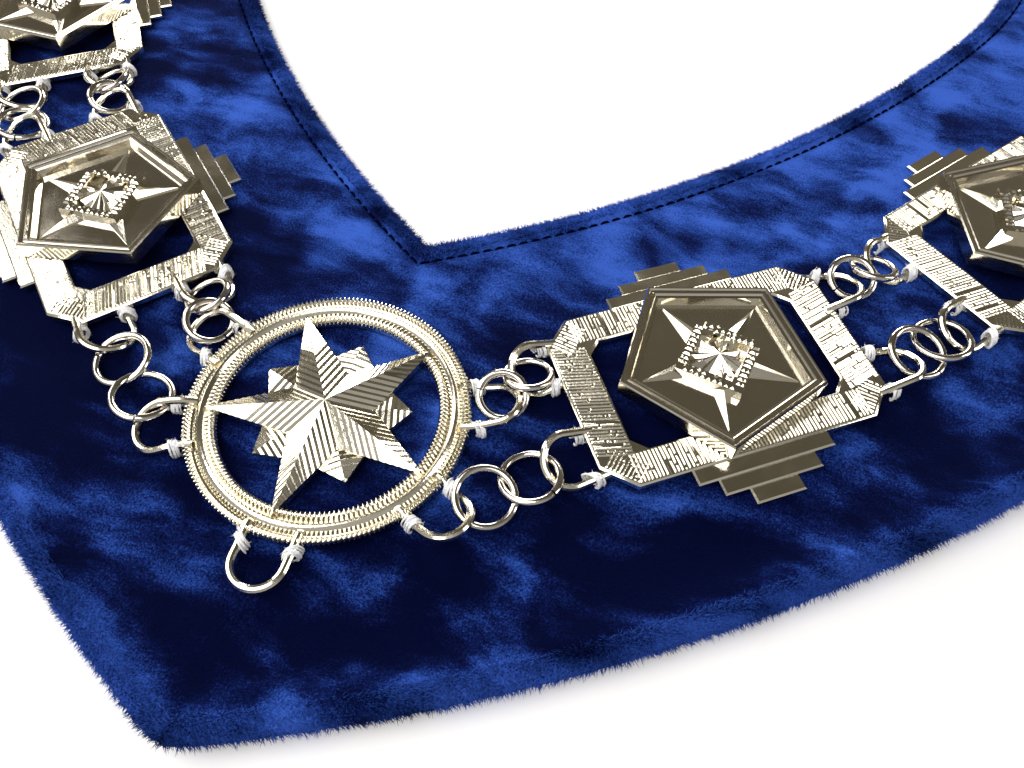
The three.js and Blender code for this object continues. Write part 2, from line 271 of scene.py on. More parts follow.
def makePlate(name, bumpStrength, finish):
    material, nodes, links, shader = newMaterial(name)
    wear = addNode(nodes, "ShaderNodeGroup", node_tree=plateWear, **finish)
    links.new(wear.outputs["Colour"], shader.inputs["Base Color"])
    links.new(wear.outputs["Roughness"], shader.inputs["Roughness"])
    shader.inputs["Metallic"].default_value = 1.0
    bump = addNode(nodes, "ShaderNodeBump", Strength=bumpStrength, Distance=0.0001)
    links.new(wear.outputs["Grain"], bump.inputs["Height"])
    links.new(bump.outputs["Normal"], shader.inputs["Normal"])
    return material


platedCasting = makePlate("nickelCasting", 0.25, {
    "Clean": (0.87, 0.83, 0.71, 1), "Tarnish": (0.60, 0.52, 0.38, 1), "Low Roughness": 0.10,
    "High Roughness": 0.24, "Scale": 160.0, "Grain Scale": 1800.0})
polishedPlate = makePlate("polishedEmblem", 0.12, {
    "Clean": (0.84, 0.80, 0.70, 1), "Tarnish": (0.56, 0.49, 0.37, 1), "Low Roughness": 0.08,
    "High Roughness": 0.18, "Scale": 140.0, "Grain Scale": 900.0})
ringWirePlate = makePlate("ringWire", 0.1, {
    "Clean": (0.74, 0.71, 0.66, 1), "Tarnish": (0.45, 0.38, 0.31, 1), "Low Roughness": 0.08,
    "High Roughness": 0.2, "Scale": 300.0, "Grain Scale": 2500.0})


# crushed velvet: the pile lies flat in patches; their bright and nearly black tones are painted sheen and
# painted shade in the base colour, and the finer streaks and fibre grain are partly real pile texture, partly
# painted sheen
velvetLook = {
    "shadow": (0.0006, 0.0018, 0.022), "body": (0.0035, 0.0095, 0.078), "lit": (0.0150, 0.0500, 0.27),
    "flash": (0.042, 0.118, 0.56), "patchScale": 52.0, "contrast": 0.17, "streakScale": 120.0,
    # sideSheen is painted sheen that lightens the right half of the collar
    "streakShare": 0.75, "fibreScale": 3000.0, "fibreShare": 0.5, "sideSheen": 0.45,
}


def makeVelvet():
    look = velvetLook
    material, nodes, links, shader = newMaterial("crushedVelvet")
    place = nodes.new("ShaderNodeTexCoord")
    swirl = addNode(nodes, "ShaderNodeTexNoise", Scale=26.0, Detail=2.0)
    links.new(place.outputs["Object"], swirl.inputs["Vector"])
    push = addNode(nodes, "ShaderNodeVectorMath", operation="MULTIPLY_ADD")
    push.inputs[1].default_value = (0.02, 0.02, 0.0)
    links.new(swirl.outputs["Color"], push.inputs[0])
    links.new(place.outputs["Object"], push.inputs[2])
    patch = addNode(nodes, "ShaderNodeTexNoise", Scale=look["patchScale"], Detail=2.5, Roughness=0.5)
    links.new(push.outputs[0], patch.inputs["Vector"])
    # painted sheen: this mask lightens the patches where the flattened pile would catch the light
    sheenPatches = addRange(nodes, 0.42, 0.64, interpolation_type="SMOOTHSTEP")
    sheenPatches.inputs["To Max"].default_value = look["contrast"]
    links.new(patch.outputs["Fac"], sheenPatches.inputs["Value"])
    streak = addNode(nodes, "ShaderNodeTexNoise", Scale=look["streakScale"], Detail=4.0, Roughness=0.6)
    stretch = addNode(nodes, "ShaderNodeMapping")
    stretch.inputs["Scale"].default_value = (0.35, 1.0, 1.0)
    stretch.inputs["Rotation"].default_value = (0, 0, 0.9)
    links.new(push.outputs[0], stretch.inputs["Vector"])
    links.new(stretch.outputs[0], streak.inputs["Vector"])
    fibre = addNode(nodes, "ShaderNodeTexNoise", Scale=look["fibreScale"], Detail=3.0, Roughness=0.7)
    links.new(place.outputs["Object"], fibre.inputs["Vector"])
    mixed = addNode(nodes, "ShaderNodeMath", operation="MULTIPLY_ADD")
    mixed.inputs[1].default_value = look["streakShare"]
    links.new(streak.outputs["Fac"], mixed.inputs[0])
    links.new(sheenPatches.outputs["Result"], mixed.inputs[2])
    lay = addNode(nodes, "ShaderNodeMath", operation="MULTIPLY_ADD")
    lay.inputs[1].default_value = look["fibreShare"]
    links.new(fibre.outputs["Fac"], lay.inputs[0])
    links.new(mixed.outputs[0], lay.inputs[2])
    # the tone ramp paints sheen and shade into the base colour, from the shadow stop up to the flash highlight
    tone = addNode(nodes, "ShaderNodeValToRGB")
    setRamp(tone, [(0.16, look["shadow"]), (0.40, look["body"]), (0.62, look["lit"]), (0.90, look["flash"])])
    spread = addRange(nodes, 0.53, 0.96)
    sides = nodes.new("ShaderNodeSeparateXYZ")  # painted sheen: the right half of the collar is painted brighter
    links.new(place.outputs["Object"], sides.inputs[0])
    sideSheen = addNode(nodes, "ShaderNodeMath", operation="MULTIPLY_ADD")
    sideSheen.inputs[1].default_value = look["sideSheen"]
    links.new(sides.outputs["X"], sideSheen.inputs[0])
    links.new(lay.outputs[0], sideSheen.inputs[2])
    # painted sheen from the band and the edge pile, added to the velvet's tone
    sheenLiftInput = addNode(nodes, "ShaderNodeAttribute", attribute_name="paintedSheenLift")
    sheenTotal = addNode(nodes, "ShaderNodeMath", operation="ADD")
    links.new(sheenLiftInput.outputs["Fac"], sheenTotal.inputs[0])
    links.new(sideSheen.outputs[0], sheenTotal.inputs[1])
    links.new(sheenTotal.outputs[0], spread.inputs["Value"])
    links.new(spread.outputs["Result"], tone.inputs["Fac"])
    links.new(tone.outputs["Color"], shader.inputs["Base Color"])
    shader.inputs["Roughness"].default_value = 0.75
    shader.inputs["Specular IOR Level"].default_value = 0.02
    shader.inputs["Sheen Weight"].default_value = 0.06
    shader.inputs["Sheen Roughness"].default_value = 0.3
    shader.inputs["Sheen Tint"].default_value = (0.05, 0.16, 0.8, 1)
    relief = addNode(nodes, "ShaderNodeBump", Strength=0.5, Distance=0.0012)
    links.new(mixed.outputs[0], relief.inputs["Height"])
    nap = addNode(nodes, "ShaderNodeBump", Strength=0.9, Distance=0.0006)
    links.new(fibre.outputs["Fac"], nap.inputs["Height"])
    links.new(relief.outputs["Normal"], nap.inputs["Normal"])
    links.new(nap.outputs["Normal"], shader.inputs["Normal"])
    return material


crushedVelvet = makeVelvet()


# twisted strands, shared by the sewing cotton and the running stitch
def makeThreadTwist():
    group, given, made = newGroup(
        "threadTwist",
        [("Dark", "NodeSocketColor", (0.5, 0.5, 0.5, 1)), ("Pale", "NodeSocketColor", (0.9, 0.9, 0.9, 1))],
        [("Colour", "NodeSocketColor"), ("Height", "NodeSocketFloat")])
    nodes, links = group.nodes, group.links
    place = nodes.new("ShaderNodeTexCoord")
    twist = addNode(nodes, "ShaderNodeTexNoise", Scale=1500.0, Detail=3.0)
    links.new(place.outputs["Object"], twist.inputs["Vector"])
    share = addRange(nodes, 0.3, 0.65)
    links.new(twist.outputs["Fac"], share.inputs["Value"])
    blend = addNode(nodes, "ShaderNodeMix", data_type="RGBA")
    links.new(share.outputs["Result"], blend.inputs["Factor"])
    links.new(given.outputs["Dark"], blend.inputs[6])
    links.new(given.outputs["Pale"], blend.inputs[7])
    links.new(blend.outputs[2], made.inputs["Colour"])
    links.new(twist.outputs["Fac"], made.inputs["Height"])
    return group


threadTwist = makeThreadTwist()


def makeThread(name, dark, pale, sheen):
    material, nodes, links, shader = newMaterial(name)
    twist = addNode(nodes, "ShaderNodeGroup", node_tree=threadTwist, Dark=(*dark, 1), Pale=(*pale, 1))
    links.new(twist.outputs["Colour"], shader.inputs["Base Color"])
    shader.inputs["Roughness"].default_value = 0.9
    shader.inputs["Sheen Weight"].default_value = sheen
    shader.inputs["Specular IOR Level"].default_value = sheen
    bump = addNode(nodes, "ShaderNodeBump", Strength=0.5, Distance=0.0002)
    links.new(twist.outputs["Height"], bump.inputs["Height"])
    links.new(bump.outputs["Normal"], shader.inputs["Normal"])
    return material


cottonThread = makeThread("cottonThread", (0.66, 0.67, 0.72), (0.95, 0.95, 0.96), 0.3)
# the running stitch's near-black colour is partly the thread's own dark blue, partly painted shade of the
# groove it lies in
stitchThread = makeThread("stitchThread", (0.0004, 0.0008, 0.008), (0.001, 0.003, 0.025), 0.0)
print("materials ready")

# camera, solved from the medallion, the plaques and the velvet's edges in the picture
cameraView = {
    "eye": (52.1, -243.1, 130.9), "aim": (26.6, -160.7, 0.2), "rollDeg": 1.4, "lensMm": 29.32, "sensorMm": 36.0,
}


def addCamera():
    data = bpy.data.cameras.new("camera")
    data.lens, data.sensor_width, data.sensor_fit = cameraView["lensMm"], cameraView["sensorMm"], "HORIZONTAL"
    data.clip_start = 0.01
    camera = bpy.data.objects.new("camera", data)
    bpy.context.scene.collection.objects.link(camera)
    eye, aim = Vector(cameraView["eye"]) * mm, Vector(cameraView["aim"]) * mm
    look = (aim - eye).to_track_quat("-Z", "Y").to_matrix().to_4x4()
    roll = Matrix.Rotation(math.radians(cameraView["rollDeg"]), 4, "Z")
    camera.matrix_world = Matrix.Translation(eye) @ look @ roll
    bpy.context.scene.camera = camera


addCamera()

# velvet band, swept from a rounded section with a stitched groove along the neck edge
band = {
    "stations": 240, "pile": 0.5, "edgeRadius": 3.0, "topStep": 1.8, "wave": 0.35, "curl": 2.2,
    "stitchInset": 4.5, "stitchDepth": 1.1, "stitchHalf": 1.2,
    "outerHem": 2.2, "neckHem": 0.7, "hemInset": 3.6, "hemHalf": 3.4, "tipRound": 0.5, "tipHalf": 2.0,
    # neckSheen and edgeSheen set the painted sheen towards the neck and on the rolled outer edge
    "neckSheen": 0.14, "edgeSheen": 0.26, "edgeSheenHalf": 5.0,
}


def paintedSheenLift(across):  # painted sheen: the velvet is painted lighter towards the neck and along the rolled outer edge
    atEdge = math.exp(-((across + halfBand) / band["edgeSheenHalf"]) ** 2)
    return band["neckSheen"] * across / halfBand + band["edgeSheen"] * atEdge


def setBrushLift(mesh, values):
    lift = mesh.attributes.new("paintedSheenLift", "FLOAT", "POINT")
    lift.data.foreach_set("value", values)


def topHeight(across):  # flat top with a soft roll along each edge
    rise = band["neckHem"] if across > 0 else band["outerHem"]
    fromHem = (halfBand - band["hemInset"] - abs(across)) / band["hemHalf"]
    return collar["bandTop"] + band["pile"] + rise * math.exp(-max(0.0, fromHem) ** 2)


def bandSection():
    edge = band["edgeRadius"]
    stitch = halfBand - band["stitchInset"]
    section = [(halfBand - edge, 0.0), (0.0, 0.0), (-halfBand + edge, 0.0)]
    turns = [math.pi * k / 8 for k in range(1, 8)]
    top = topHeight(-halfBand)
    section += [(-halfBand + edge - edge * math.sin(t), top / 2 - top / 2 * math.cos(t)) for t in turns]
    steps = int((collar["bandWidth"] - 2 * edge) / band["topStep"])
    across = [-halfBand + edge + k * (collar["bandWidth"] - 2 * edge) / steps for k in range(steps + 1)]
    across += [stitch - 0.5, stitch, stitch + 0.5]
    for spot in sorted(across):
        groove = math.exp(-((spot - stitch) / (band["stitchHalf"] * 0.6)) ** 2)
        section.append((spot, topHeight(spot) - band["stitchDepth"] * groove))
    top = topHeight(halfBand)
    section += [(halfBand - edge + edge * math.sin(t), top / 2 + top / 2 * math.cos(t)) for t in turns]
    return section


def edgeCurl(heading, side):  # the outer edge lifts off the table here and there
    return band["curl"] * (0.55 + 0.45 * np.sin(6.1 * heading + 0.9 * side))


def tipTuck(x):  # the hem is tucked in at the point
    return band["tipRound"] * np.exp(-(x / band["tipHalf"]) ** 2)


def surfaceWave(x, y):
    spot = Vector((x * 0.028, y * 0.028, 3.1))
    return noise.noise(spot) + 0.45 * noise.noise(spot * 2.7)


def makeBand():
    section = bandSection()
    stations = 2 * band["stations"]
    bag = newBag()
    for station in range(stations):
        onRight = station <= band["stations"]
        share = (station if onRight else stations - station) / band["stations"]
        for across, height in section:
            low = axisAngle(across)
            heading = low + (math.pi - low) * share
            x, y = bandPoint(heading, across)
            x = x if onRight else -x
            if across < 0 and share < 0.5:
                y += tipTuck(x) * (-across / halfBand) ** 8
            height += edgeCurl(heading, 1 if onRight else -1) * max(0.0, -across / halfBand) ** 5
            lift = band["wave"] * surfaceWave(x, y) * (height / (collar["bandTop"] + band["pile"])) ** 2
            bag["points"].append((x, y + layoutShift, height + lift))
    count = len(section)
    for station in range(stations):
        after = (station + 1) % stations
        for corner in range(count):
            other = (corner + 1) % count
            here, there = station * count, after * count
            bag["faces"].append((here + other, here + corner, there + corner, there + other))
    mesh = makeMesh("velvetBand", bag, crushedVelvet, 60)
    setBrushLift(mesh, [paintedSheenLift(across) for across, _ in section] * stations)
    return mesh


velvetBand = addPiece("velvetBand", makeBand(), nodes=["velvet_collar"])
print("velvet band made")

# running stitch sunk in the groove
stitching = {"pitch": 2.6, "length": 1.9, "radius": 0.25}


def makeStitches():
    bag = newBag()
    across = halfBand - band["stitchInset"]
    low, height = axisAngle(across), topHeight(across) - band["stitchDepth"] + 0.15
    frontBend, napeBend = frontRadius - across, napeRadius - across
    frontPart = frontBend * (napeAngle - low)
    total = frontPart + napeBend * (math.pi - napeAngle)
    for side in (1, -1):
        for k in range(int(total / stitching["pitch"])):
            path = []
            for share in (0.0, 0.3, 0.7, 1.0):
                walked = (k + 0.2) * stitching["pitch"] + stitching["length"] * share
                if walked < frontPart:
                    heading = low + walked / frontBend
                else:
                    heading = napeAngle + (walked - frontPart) / napeBend
                x, y = bandPoint(heading, across)
                path.append((side * x, y + layoutShift, height + (0.2 if 0 < share < 1 else -0.25)))
            addTube(bag, path, stitching["radius"], 6)
    return makeMesh("neckStitches", bag, stitchThread, 60)


neckStitches = addPiece("neckStitches", makeStitches())

# loops, plaques and rings share these sizes with the solids
wire = {
    "loopHeight": 5.4, "loopRadius": 4.4, "loopWire": 1.5, "innerReach": 3.4, "outerReach": 4.2,
    "loopSink": 2.0, "loopTwist": 0.37, "loopRow": 9.8, "ringWire": 1.5, "ringSlit": 0.3,
    "arcSteps": 18, "sides": 10, "ringSteps": 44,
}
chain = {"perSide": 6, "first": 72.5, "across": -2.8}
sewing = {  # how far the plaques near the point are sewn off their even places
    "right1": {"along": 0.4, "towardNeck": 1.2, "turn": -3.1},
    "right2": {"along": 0.8, "towardNeck": 0.5, "turn": 0.2},
    "left1": {"along": 2.9, "towardNeck": -1.7, "turn": 0.3},
    "left2": {"along": 0.0, "towardNeck": -0.1, "turn": 0.0},
}


def plaquePose(side, number):  # x, y, angle and the row of loops towards the neck
    sewn = sewing.get(side + str(number), {"along": 0.0, "towardNeck": 0.0, "turn": 0.0})
    step = (halfLength - chain["first"]) / chain["perSide"]
    heading = headingAt(chain["first"] + step * (number - 1) + sewn["along"])
    x, y = bandPoint(heading, chain["across"] + sewn["towardNeck"])
    angle = heading + math.radians(sewn["turn"])
    return (x, y, angle, 1) if side == "right" else (-x, y, math.pi - angle, -1)


def inLayout(pose, spot):
    (x, y), cosTurn, sinTurn = spot, math.cos(pose[2]), math.sin(pose[2])
    return Vector((pose[0] + x * cosTurn - y * sinTurn, pose[1] + x * sinTurn + y * cosTurn))


def loopPath(reach, twist, lean=0.0):  # two legs and a half circle, tipped sideways to its rings
    radius, leg = wire["loopRadius"], reach + wire["loopSink"]
    flat = [(-leg, -radius), (-leg * 0.66, -radius), (-leg * 0.33, -radius)]
    turns = [-math.pi / 2 + math.pi * k / wire["arcSteps"] for k in range(wire["arcSteps"] + 1)]
    flat += [(radius * math.cos(t), radius * math.sin(t)) for t in turns]
    flat += [(-leg * 0.33, radius), (-leg * 0.66, radius), (-leg, radius)]
    path = []
    for x, y in flat:
        rise = 1.0 if x >= 0 else 1 + x / leg
        path.append(Vector((x, y, twist * (y * math.cos(lean) - x * math.sin(lean)) * rise)))
    return path


def placedLoop(spot, angle, reach, twist, lean=0.0):
    move = Matrix.Translation((spot[0], spot[1], wire["loopHeight"])) @ Matrix.Rotation(angle, 4, "Z")
    return [move @ p for p in loopPath(reach, twist, lean)]


# plaque: octagonal frame, stepped slats and cut hatching on every bar
plaque = {
    "length": 55.8, "width": 36.6, "chamfer": 5.2, "endBar": 7.2, "longBar": 6.4, "thick": 1.4, "bevel": 0.3,
    "slats": [(26.0, 2.8, 0.45), (18.5, 5.6, 1.0), (9.3, 8.4, 1.55)], "slatThick": 0.8,
}
hatch = {"pitch": 0.68, "height": 0.17, "slant": 0.26, "corner": 3.1}


def octagon(length, width, chamfer, z):
    x, y = length / 2, width / 2
    return [(x, -y + chamfer, z), (x, y - chamfer, z), (x - chamfer, y, z), (-x + chamfer, y, z),
            (-x, y - chamfer, z), (-x, -y + chamfer, z), (-x + chamfer, -y, z), (x - chamfer, -y, z)]


def plaqueLoopSpot(end, row, towardNeck):
    reach = wire["innerReach"] if towardNeck else wire["outerReach"]
    return end * (plaque["length"] / 2 + reach), row * wire["loopRow"]


def addPlaquePlate(bag):
    low = wire["loopHeight"] - plaque["thick"] / 2
    high, bevel = low + plaque["thick"], plaque["bevel"]
    length, width, chamfer = plaque["length"], plaque["width"], plaque["chamfer"]
    inLength, inWidth, inChamfer = length - 2 * plaque["endBar"], width - 2 * plaque["longBar"], chamfer / 2
    levels = [
        octagon(inLength, inWidth, inChamfer, low), octagon(length, width, chamfer, low),
        octagon(length, width, chamfer, high - bevel),
        octagon(length - 2 * bevel, width - 2 * bevel, chamfer, high),
        octagon(inLength + 2 * bevel, inWidth + 2 * bevel, inChamfer, high),
        octagon(inLength, inWidth, inChamfer, high - bevel),
    ]
    points = [p for level in levels for p in level]
    faces = []
    for level in range(6):
        for here in range(8):
            there, nextLevel = (here + 1) % 8, (level + 1) % 6
            faces.append((level * 8 + here, level * 8 + there, nextLevel * 8 + there, nextLevel * 8 + here))
    addMesh(bag, points, faces)
    # strokes lie across each bar, slanting on the end bars and the corners
    x, y, top = length / 2 - bevel, width / 2 - bevel, high - 0.02
    inX, inY = inLength / 2 + bevel, inWidth / 2 + bevel
    for side in (1, -1):
        lean, cut = hatch["slant"] * (x - inX), chamfer * 0.92
        addHatch(bag, (side * inX, -y + chamfer, top), (0, 2 * (y - chamfer) - lean, 0),
                 (side * (x - inX), lean, 0), hatch["pitch"], hatch)
        addHatch(bag, (-x + chamfer, side * inY, top), (2 * (x - chamfer), 0, 0),
                 (0, side * (y - inY), 0), hatch["pitch"], hatch)
        for end in (1, -1):
            addHatch(bag, (end * (x - chamfer), side * y * 0.995, top), (end * cut, -side * cut, 0),
                     (-end * hatch["corner"], -side * hatch["corner"], 0), hatch["pitch"], hatch)
    for side in (1, -1):
        edge = width / 2
        for slatLength, reach, drop in plaque["slats"]:
            y0, y1 = side * (edge - 1.2), side * (width / 2 + reach)
            x, slatTop = slatLength / 2, high - drop
            foot = slatTop - plaque["slatThick"]
            addSlab(bag, (-x, min(y0, y1), foot), (x, max(y0, y1), slatTop), bevel)
            edge = width / 2 + reach


def makePlaque(neckRow):
    bag = newBag()
    addPlaquePlate(bag)
    for row in (1, -1):
        towardNeck = row == neckRow
        reach = wire["innerReach"] if towardNeck else wire["outerReach"]
        for end in (1, -1):
            spot = plaqueLoopSpot(end, row, towardNeck)
            path = placedLoop(spot, 0 if end > 0 else math.pi, reach, -wire["loopTwist"])
            addTube(bag, path, wire["loopWire"] / 2, wire["sides"])
    return makeMesh("plaque" + ("Right" if neckRow > 0 else "Left"), bag, platedCasting, 35)


# emblem: five-sided tray with a double border, a faceted star, a hatched lozenge and a rayed boss
emblem = {
    "border": [(19.4, 0.0), (19.35, 3.0), (19.1, 3.35), (18.75, 3.35), (18.45, 3.0), (17.9, 2.95),
               (17.6, 3.3), (17.3, 3.3), (17.0, 2.9), (16.4, 2.8), (15.9, 1.2)],
    "floor": 1.2, "starTip": 14.6, "starInner": 3.9, "starEdge": 0.5, "starRise": 2.0,
    "lozengeOut": 9.0, "lozengeIn": 6.0, "lozengeTop": 3.1, "bossRadius": 4.6, "bossRise": 1.9, "rays": 14,
}


def pentagon(radius, z):
    return [polar(radius, math.pi + 2 * math.pi * k / 5, z) for k in range(5)]


def addStar(bag, base, tip, inner, edge, rise, first, ribs=0, ribHeight=0.0, tipDrop=0.0):
    corners = [polar(tip if k % 2 == 0 else inner, first + k * math.pi / 5, 0.0) for k in range(10)]
    peak = Vector((0, 0, base + rise))
    for k in range(10):
        a, b = corners[k], corners[(k + 1) % 10]
        tipPoint, valley = (a, b) if k % 2 == 0 else (b, a)
        tipTop = Vector((tipPoint[0], tipPoint[1], base + edge + tipDrop))
        valleyTop = Vector((valley[0], valley[1], base + edge))
        flip = k % 2 == 1
        steps = max(1, 2 * ribs)
        rows = []
        for s in range(steps + 1):
            share = s / steps
            raised = Vector((0, 0, ribHeight if s % 2 == 1 else 0.0)) * (1 - share * 0.5)
            ridge = peak.lerp(tipTop, share) + raised * (0.4 if 0 < s < steps else 0)
            rim = valleyTop.lerp(tipTop, share) + raised
            foot = Vector((rim.x, rim.y, base))
            rows.append((ridge, rim, foot))
        points = [p for row in rows for p in row]
        faces = []
        for s in range(steps):
            i, j = 3 * s, 3 * s + 3
            quads = [(i, i + 1, j + 1, j), (i + 1, i + 2, j + 2, j + 1)]
            faces += [tuple(reversed(q)) for q in quads] if not flip else quads
        addMesh(bag, points, faces)
    base10 = [(x, y, base) for x, y, _ in corners]
    addMesh(bag, base10 + [(0, 0, base)], [((k + 1) % 10, k, 10) for k in range(10)])


def addLozenge(bag, centre, outHalf, inHalf, low, high, angle):  # square frame set on its corner
    def square(half, z):
        corners = [polar(half, angle + k * math.pi / 2) for k in range(4)]
        return [(centre[0] + x, centre[1] + y, z) for x, y, _ in corners]
    levels = [square(inHalf, low), square(outHalf, low)]
    levels += [square(outHalf - 0.25, high), square(inHalf + 0.25, high)]
    points = [p for level in levels for p in level]
    faces = []
    for level in range(4):
        for here in range(4):
            there, nextLevel = (here + 1) % 4, (level + 1) % 4
            faces.append((level * 4 + here, level * 4 + there, nextLevel * 4 + there, nextLevel * 4 + here))
    addMesh(bag, points, faces)
    out, inner = square(outHalf - 0.35, high - 0.02), square(inHalf + 0.35, high - 0.02)
    for k in range(4):
        a, b = Vector(out[k]), Vector(out[(k + 1) % 4])
        inward = (Vector(inner[k]) + Vector(inner[(k + 1) % 4]) - a - b) / 2
        addHatch(bag, a + (b - a) * 0.1, (b - a) * 0.8, inward, 1.0, {"height": 0.32})


def addBoss(bag, centre, radius, low, rise, rays):  # rayed cone
    rim, count = [], 2 * rays
    for k in range(count):
        reach = radius if k % 2 == 0 else radius * 0.86
        rim.append(polar(reach, 2 * math.pi * k / count, low + (0.5 if k % 2 == 0 else 0.15)))
    points = rim + [(x, y, low - 0.5) for x, y, _ in rim] + [(0, 0, low + rise), (0, 0, low - 0.5)]
    faces = []
    for k in range(count):
        n = (k + 1) % count
        faces += [(k, n, 2 * count), (count + k, count + n, n, k), (count + n, count + k, 2 * count + 1)]
    addMesh(bag, [(x + centre[0], y + centre[1], z) for x, y, z in points], faces)


def makeEmblem():
    bag = newBag()
    base = wire["loopHeight"] + plaque["thick"] / 2 + 0.3
    levels = [pentagon(radius, base + z) for radius, z in emblem["border"]]
    addLoft(bag, levels)
    floor = base + emblem["floor"]
    foot, lozengeTop = floor - 0.2, base + emblem["lozengeTop"]
    addStar(bag, foot, emblem["starTip"], emblem["starInner"], emblem["starEdge"], emblem["starRise"], math.pi)
    addLozenge(bag, (0, 0), emblem["lozengeOut"], emblem["lozengeIn"], foot, lozengeTop, 0.0)
    addBoss(bag, (0, 0), emblem["bossRadius"], floor + 0.5, emblem["bossRise"], emblem["rays"])
    return makeMesh("emblem", bag, polishedPlate)


# medallion: knurled and beaded ring, ribbed star, ribbed diamonds and five loops
medallion = {
    "x": -1.2, "y": 8.0, "radius": 25.0, "base": 4.2, "steps": 960, "outerKnurl": 192, "innerKnurl": 160,
    "starTip": 21.6, "starInner": 8.1, "starEdge": 0.9, "starRise": 4.5, "starRibs": 13, "ribHeight": 0.3,
    "tipDrop": 0.7, "diamondSpot": 11.0, "diamondHalf": 3.75, "knurlDepth": 0.5,
    "loops": {
        "pendant": -87.0, "rightInner": 21.0, "rightOuter": -25.0, "leftInner": 163.0, "leftOuter": 205.0,
    },
}
moulding = [  # radius, height and which knurl cuts it
    (19.4, 4.2, 0), (24.7, 4.2, 0),
    (25.05, 4.8, 1), (25.1, 5.4, 1), (24.8, 5.9, 1), (24.4, 6.0, 1), (24.1, 5.7, 1),
    (23.9, 5.0, 0), (23.5, 4.9, 0), (23.2, 5.3, 0), (22.8, 5.9, 0), (22.3, 6.15, 0), (21.8, 5.9, 0),
    (21.4, 5.3, 0), (21.15, 4.9, 0),
    (20.9, 5.3, 2), (20.7, 5.8, 2), (20.3, 5.95, 2), (19.9, 5.8, 2), (19.6, 5.3, 2), (19.4, 4.9, 0),
]


def knurl(angle, count):
    return abs(math.sin(angle * count / 2)) - 0.5


def medallionLoopSpot(row):
    angle = math.radians(medallion["loops"][row])
    reach = medallion["radius"] + wire["outerReach"]
    return Vector((reach * math.cos(angle), reach * math.sin(angle)))


def plaqueLoop(pose, end, kind):
    row = pose[3] if kind == "inner" else -pose[3]
    return inLayout(pose, plaqueLoopSpot(end, row, kind == "inner"))


def headingOf(step):
    return math.atan2(step.y, step.x)


def makeMedallion():
    bag = newBag()
    points, faces, count = [], [], len(moulding)
    for step in range(medallion["steps"]):
        angle = 2 * math.pi * step / medallion["steps"]
        for radius, height, cut in moulding:
            teeth = medallion["outerKnurl"] if cut == 1 else medallion["innerKnurl"]
            depth = 0.0 if cut == 0 else medallion["knurlDepth"] * knurl(angle, teeth)
            points.append(polar(radius + (depth if cut == 1 else -depth * 0.6), angle, height + depth * 0.6))
    for step in range(medallion["steps"]):
        after = (step + 1) % medallion["steps"]
        for corner in range(count):
            other = (corner + 1) % count
            here, there = step * count, after * count
            faces.append((here + corner, there + corner, there + other, here + other))
    addMesh(bag, points, faces)
    down = -math.pi / 2
    addStar(bag, medallion["base"] + 0.3, medallion["starTip"], medallion["starInner"], medallion["starEdge"],
            medallion["starRise"], down, medallion["starRibs"], medallion["ribHeight"], medallion["tipDrop"])
    for k in range(5):
        angle = down + (2 * k + 1) * math.pi / 5
        spot = polar(medallion["diamondSpot"], angle)
        addDiamond(bag, spot, medallion["diamondHalf"], medallion["base"] + 0.2, angle)
    for row, degrees in medallion["loops"].items():
        angle, lean, twist = math.radians(degrees), 0.0, 0.0
        if row != "pendant":
            side, kind = ("right", row[5:].lower()) if row.startswith("right") else ("left", row[4:].lower())
            start = medallionLoopSpot(row) + Vector((medallion["x"], medallion["y"]))
            lean = headingOf(plaqueLoop(plaquePose(side, 1), -1, kind) - start) - angle
            twist = -wire["loopTwist"]
        path = placedLoop(medallionLoopSpot(row), angle, wire["outerReach"], twist, lean)
        addTube(bag, path, wire["loopWire"] / 2, wire["sides"])
    return makeMesh("medallion", bag, platedCasting, 30)


def addDiamond(bag, spot, half, low, angle):  # ribbed square set on its corner, highest along its middle
    ahead = Vector((math.cos(angle), math.sin(angle), 0))
    aside = Vector((-math.sin(angle), math.cos(angle), 0))
    centre = Vector((spot[0], spot[1], low))
    ribs = 7
    for flank in (1, -1):
        rows = []
        for s in range(2 * ribs + 1):
            share = s / (2 * ribs)
            along = ahead * (half * (2 * share - 1))
            width = half * (1 - abs(2 * share - 1))
            crest = Vector((0, 0, 0.22 if s % 2 == 1 else 0.0))
            middle = centre + along + Vector((0, 0, 1.5 - 0.5 * abs(2 * share - 1))) + crest
            rim = centre + along + aside * (flank * width) + Vector((0, 0, 0.9)) + crest * 0.7
            rows.append((middle, rim, Vector((rim.x, rim.y, low)), Vector((middle.x, middle.y, low))))
        points = [p for row in rows for p in row]
        faces = []
        for s in range(2 * ribs):
            i, j = 4 * s, 4 * s + 4
            quads = [(i, i + 1, j + 1, j), (i + 1, i + 2, j + 2, j + 1), (i + 2, i + 3, j + 3, j + 2)]
            faces += [tuple(reversed(q)) for q in quads] if flank > 0 else quads
        addMesh(bag, points, faces)


# rings: two in each run, tipped so that each locks in its neighbours
ringKinds = {
    "inner": {"radius": 4.2, "tilt": 0.27, "pitch": 0.25, "rise": 0.55},
    "outer": {"radius": 5.05, "tilt": 0.20, "pitch": 0.0, "rise": 0.0},
}
ringFit = {"contact": 0.9, "wires": 1.3, "lock": 0.79, "step": 0.19, "furthest": 7.4}


def addRing(bag, centre, radius, pitch, tilt, slitAngle):
    facing = Vector((-pitch, -tilt, 1)).normalized()
    turn = Vector((0, 0, 1)).rotation_difference(facing)
    gap, steps = wire["ringSlit"] / radius, wire["ringSteps"]
    turns = [slitAngle + gap / 2 + (2 * math.pi - gap) * k / steps for k in range(steps + 1)]
    path = [Vector(centre) + turn @ Vector(polar(radius, t)) for t in turns]
    addTube(bag, path, wire["ringWire"] / 2, wire["sides"])


